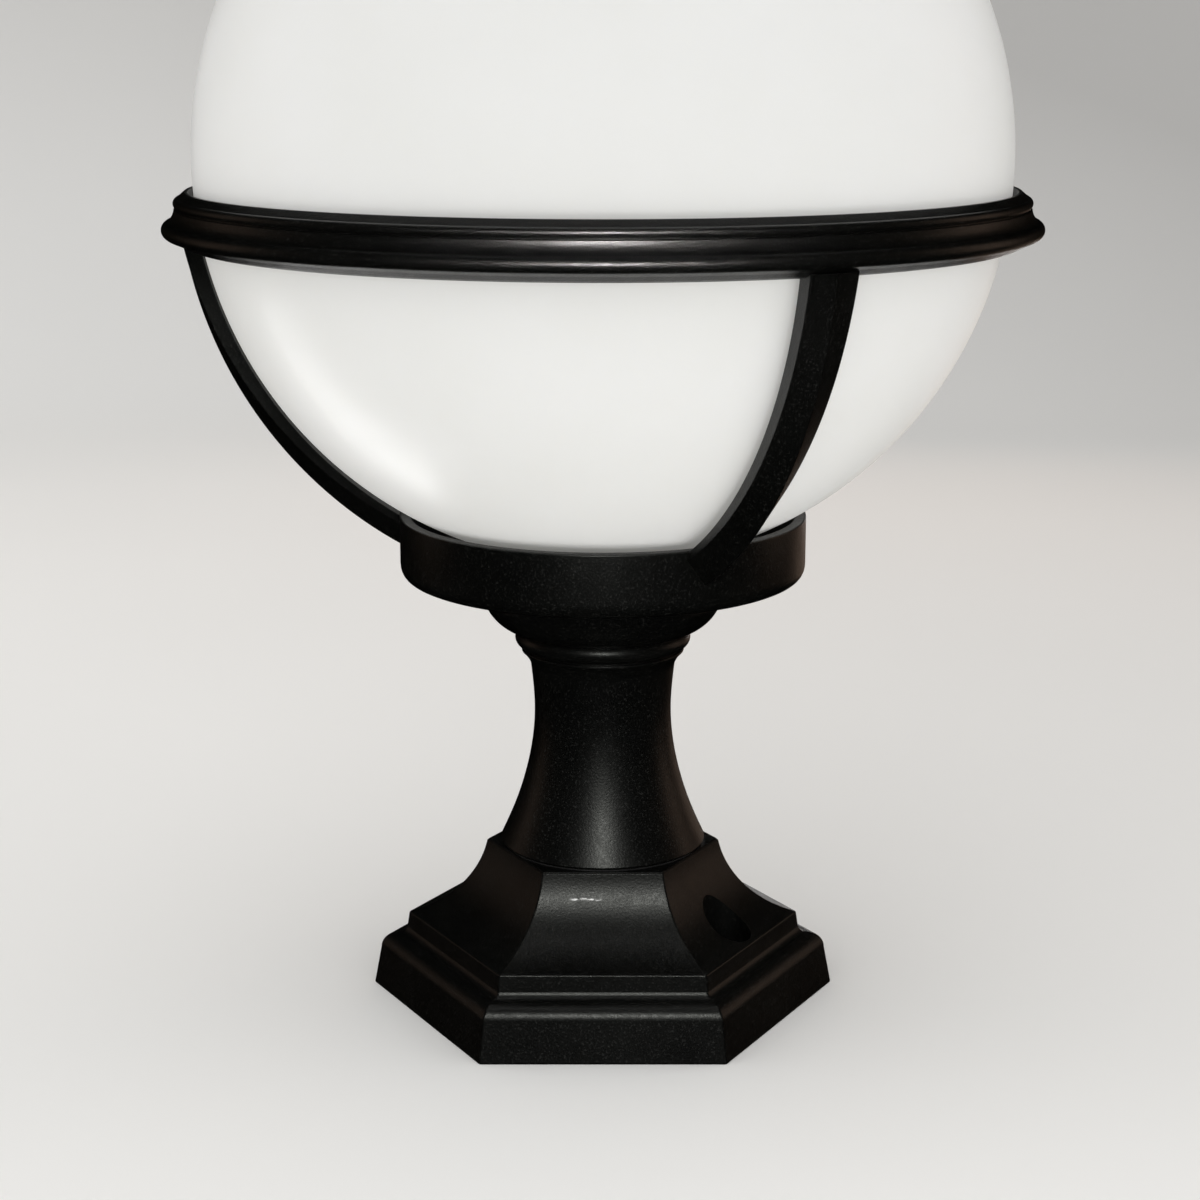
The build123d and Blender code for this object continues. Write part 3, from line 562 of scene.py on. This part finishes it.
def opal():
    """Opal white that scatters light through its wall, with a faint painted glow of its own that keeps its
    shaded side pale.
    """
    finish = Finish("opal")
    colour = finish.ramp(finish.noise(0.05, 2.0), (0.65, 0.65, 0.63), (0.67, 0.67, 0.655))
    finish.wire("Base Color", colour)
    finish.wire("Roughness", finish.level(finish.noise(0.012, 2.0), 0.28, 0.34))
    finish.wire("Normal", finish.bump(finish.noise(0.03, 1.0), 0.00008))
    finish.set("Specular IOR Level", 0.06)
    finish.set("Subsurface Weight", 0.5)
    finish.set("Subsurface Radius", (1.0, 0.95, 0.85))
    finish.set("Subsurface Scale", 0.015)
    # Painted glow: the globe gives off a faint even light of its own, though no lamp inside it is lit.
    finish.set("Emission Color", (1.0, 0.995, 0.96, 1))
    finish.set("Emission Strength", 0.15)
    return finish.material


def plain(name, dark, light, roughness, metallic=0.0, grain=0.0008, depth=0.00002, stretch=(1, 1, 1)):
    """A made-up surface: two close tones, uneven gloss and a fine relief."""
    finish = Finish(name, metallic)
    finish.wire("Base Color", finish.ramp(finish.noise(grain * 12, 3.0, stretch), dark, light))
    gloss = finish.noise(grain * 5, 3.0, stretch)
    finish.wire("Roughness", finish.level(gloss, roughness * 0.8, roughness * 1.2))
    finish.wire("Normal", finish.bump(finish.noise(grain, 2.0, stretch), depth))
    return finish


def striped_lead():
    """Green core insulation with a yellow stripe along it."""
    finish = plain("lead_green", (0.07, 0.33, 0.05), (0.09, 0.38, 0.06), 0.35)
    facing = finish.nodes.new("ShaderNodeNewGeometry")
    split = finish.nodes.new("ShaderNodeSeparateXYZ")
    finish.links.new(facing.outputs["Normal"], split.inputs["Vector"])
    stripe = finish.level(finish.math("ABSOLUTE", split.outputs["Z"], 0), 0.0, 1.0, 0.68, 0.72)
    green = finish.shader.inputs["Base Color"].links[0].from_socket
    yellow = finish.ramp(stripe, (0.72, 0.55, 0.03), (0.75, 0.58, 0.04))
    finish.wire("Base Color", finish.mix(stripe, green, yellow))
    return finish.material


BRUSHED = (1, 1, 14)
slots = {
    "steel": plain("steel", (0.50, 0.51, 0.54), (0.64, 0.64, 0.63), 0.32, 1.0, 0.0005, 0.00001, BRUSHED),
    "rubber": plain("rubber", (0.022, 0.022, 0.022), (0.034, 0.034, 0.033), 0.8, 0.0, 0.0006, 0.00003),
    "holder_plastic": plain("holder_plastic", (0.028, 0.028, 0.028), (0.042, 0.042, 0.041), 0.42),
    "ceramic": plain("ceramic", (0.76, 0.74, 0.69), (0.84, 0.82, 0.77), 0.18, 0.0, 0.002, 0.00003),
    "brass": plain("brass", (0.66, 0.47, 0.20), (0.80, 0.61, 0.30), 0.3, 1.0, 0.0005, 0.00001, BRUSHED),
    "solder": plain("solder", (0.52, 0.52, 0.52), (0.66, 0.66, 0.65), 0.36, 1.0, 0.0012, 0.00006),
    "black_glass": plain("black_glass", (0.012, 0.012, 0.016), (0.02, 0.02, 0.026), 0.1, 0.0, 0.003),
    "nickel": plain("nickel", (0.66, 0.64, 0.60), (0.76, 0.74, 0.70), 0.22, 1.0, 0.0005, 0.00001),
    "white_plastic": plain("white_plastic", (0.74, 0.74, 0.71), (0.80, 0.80, 0.78), 0.38),
    "board": plain("board", (0.78, 0.80, 0.79), (0.86, 0.87, 0.86), 0.4, 0.0, 0.0004),
    "bulb_opal": plain("bulb_opal", (0.84, 0.84, 0.81), (0.90, 0.90, 0.88), 0.3, 0.0, 0.002),
    "lead_brown": plain("lead_brown", (0.12, 0.045, 0.018), (0.16, 0.06, 0.025), 0.35),
    "lead_blue": plain("lead_blue", (0.02, 0.08, 0.34), (0.03, 0.11, 0.42), 0.35),
}
slots = {name: finish.material for name, finish in slots.items()}
slots["lead_green"] = striped_lead()
slots["opal"] = opal()
slots["black_paint"] = paint("black_paint")
base_paint = paint("black_paint_base", cove_pale_streak)


def dress(piece, material):
    piece.data.materials.clear()
    piece.data.materials.append(material)


for part in frame["record"]["subparts"]:
    dress(frame["nodes"][part["node"]], slots[part["material_slot"]])
for piece in castings:
    dress(piece, slots["black_paint"])
dress(hex_piece, base_paint)
dress(globe_piece, slots["opal"])

# ---- floor, backdrop and lights ---------------------------------------------------
STAGE_WIDTH = 6.0
STAGE_FRONT = -2.5
STAGE_RADIUS = 12.0
STAGE_DROP = 0.001
WALL_FOOT = 1.1
WALL_CURVE = 0.7
WALL_TOP = 3.0
WALL_CURVE_STEPS = 24
RIM_STEPS = 96
# The floor and backdrop run from a lit grey to a painted shade grey.
STAGE_LIT_GREY = (0.90, 0.895, 0.87)
STAGE_SHADED_GREY = (0.49, 0.485, 0.47)
STAGE_SHADE_SPAN = 0.95
bend = [math.radians(90 * i / WALL_CURVE_STEPS) for i in range(WALL_CURVE_STEPS + 1)]
profile = [(STAGE_FRONT, 0.0)]
profile += [(WALL_FOOT + WALL_CURVE * math.sin(t), WALL_CURVE * (1 - math.cos(t))) for t in bend]
profile += [(WALL_FOOT + WALL_CURVE, WALL_TOP)]
sheet = bmesh.new()
edges = [
    [sheet.verts.new((side * STAGE_WIDTH / 2, y, z)) for side in (-1, 1)] for y, z in profile
]
for (left, right), (far_left, far_right) in zip(edges, edges[1:]):
    sheet.faces.new((left, right, far_right, far_left))
# A wide floor just below the sheet carries on to the horizon on the other sides.
rim = [
    sheet.verts.new((STAGE_RADIUS * math.cos(t), STAGE_RADIUS * math.sin(t), -STAGE_DROP))
    for t in (2 * math.pi * i / RIM_STEPS for i in range(RIM_STEPS))
]
sheet.faces.new(rim)
studio = finished("studio_floor", sheet)
studio_finish = Finish("studio_grey", roughness=0.95)
studio_finish.set("Specular IOR Level", 0.0)
place = studio_finish.nodes.new("ShaderNodeSeparateXYZ")
studio_finish.links.new(studio_finish.place, place.inputs["Vector"])
# Painted shade: the grey darkens upwards, to the right and towards the back, standing for studio light that
# falls off there.
painted_shade = studio_finish.math("ADD", place.outputs["Z"], studio_finish.math("MULTIPLY", place.outputs["X"], 0.45))
painted_shade = studio_finish.math("ADD", painted_shade, studio_finish.math("MULTIPLY", place.outputs["Y"], 0.3))
drift = studio_finish.level(studio_finish.noise(0.4, 1.0), -0.02, 0.02)
painted_shade = studio_finish.math("ADD", painted_shade, drift)
grey = studio_finish.ramp(painted_shade, STAGE_LIT_GREY, STAGE_SHADED_GREY, 0.0, STAGE_SHADE_SPAN)
studio_finish.wire("Base Color", grey)
dress(studio, studio_finish.material)
# The black paint shows the softboxes, and not a room full of pale paper.
studio.visible_glossy = False


def softbox(
    name, place, target, size, power, colour=(1, 1, 1), fills=True, shines=True, spread=180, turn=0, only=None
):
    """A rectangular soft light; it may only fill shade, only leave highlights, or reach only some pieces."""
    data = bpy.data.lights.new(name, "AREA")
    data.shape = "RECTANGLE"
    data.size, data.size_y = size
    data.energy = power
    data.color = colour
    data.spread = math.radians(spread)
    lamp = bpy.data.objects.new(name, data)
    lamp.location = place
    lamp.rotation_euler = (Vector(target) - Vector(place)).to_track_quat("-Z", "Y").to_euler()
    lamp.rotation_euler.z += math.radians(turn)
    lamp.visible_diffuse = fills
    lamp.visible_glossy = shines
    lamp.visible_camera = False
    bpy.context.scene.collection.objects.link(lamp)
    if only is not None:
        receivers = bpy.data.collections.new(name + "_receivers")
        for piece in only:
            receivers.objects.link(piece)
        lamp.light_linking.receiver_collection = receivers


middle = Vector((0, 0, cad_high.z / 2))
WARM = (1.0, 0.70, 0.52)
PINK = (1.0, 0.92, 0.92)
softbox(
    "front_box", (0.0, -0.76, 0.44), (0, 0, 0.15), (0.10, 0.10), 1.75, (0.98, 1.0, 0.93),
    fills=False, only=castings,
)
softbox(
    "ring_box", (0.0, -0.76, 0.45), (0, -0.13, 0.275), (0.10, 0.08), 0.04, PINK,
    fills=False, spread=8, only=castings,
)
softbox("overhead_box", (0.0, 0.0, 1.5), middle, (0.9, 0.9), 0.15, shines=False)
softbox("right_fill", (1.5, 0.5, 0.4), middle, (0.5, 1.0), 0.95, WARM)
softbox("left_fill", (-1.5, 0.5, 0.4), middle, (0.5, 1.0), 0.45, WARM)
softbox("back_fill", (0.2, 1.0, 0.42), middle, (0.7, 0.4), 0.5, WARM, shines=False)
softbox("low_warm_card", (0.35, 0.55, 0.04), (0.05, 0, 0.15), (0.35, 0.2), 0.08, WARM, fills=False)
softbox(
    "low_white_card", (-0.37, 0.10, 0.012), (-0.37, 0.10, 1.0), (0.50, 0.10), 1.4,
    fills=False, turn=-21, only=[globe_piece],
)
softbox("bounce_card", (0.12, -0.42, 0.02), (0.02, -0.05, 0.25), (0.5, 0.25), 0.65, shines=False)
softbox("floor_fill", (-0.5, -0.9, 1.2), (-0.5, -0.9, 0.0), (1.2, 1.2), 1.9, shines=False)
softbox("rear_card", (0.2, 0.95, 0.04), (0, 0, 0.2), (0.5, 0.1), 0.5, fills=False, only=castings)

world = bpy.data.worlds.new("studio_air")
world.use_nodes = True
world.node_tree.nodes["Background"].inputs["Color"].default_value = (0.99, 0.99, 1.0, 1)
world.node_tree.nodes["Background"].inputs["Strength"].default_value = 0.95
world.cycles_visibility.glossy = False
bpy.context.scene.world = world
